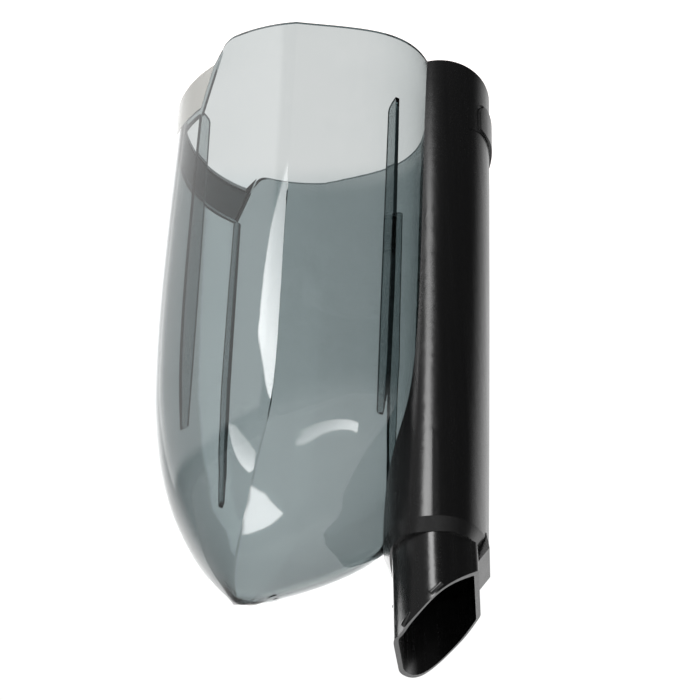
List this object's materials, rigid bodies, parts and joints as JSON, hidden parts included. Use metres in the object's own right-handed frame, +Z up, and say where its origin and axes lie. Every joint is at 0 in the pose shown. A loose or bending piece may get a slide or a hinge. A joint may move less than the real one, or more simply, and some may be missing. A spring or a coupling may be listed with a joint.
{
  "type": "cyclone dust bin",
  "caption": "Smoked clear dust bin with a pointed bow-shaped bottom, a light grey front cover strip and a black suction duct at its back that ends in a slanted open neck.",
  "frame": {"origin": "middle of the bin's mouth on the plane of its rim, level with its widest point", "axes": "+Z up out of the bin's mouth, +X towards the suction duct at the back, mirror plane Y = 0"},
  "size_m": [0.1475, 0.1186, 0.2623],
  "materials": {
    "smoked_clear": "clear polished, smoky grey",
    "light_grey": "satin, warm silver grey",
    "black_gloss": "semi-gloss black"
  },
  "bodies": {
    "root": {"bin_shell": "smoked_clear", "front_strip": "light_grey", "suction_duct": "black_gloss"}
  },
  "joints": []
}
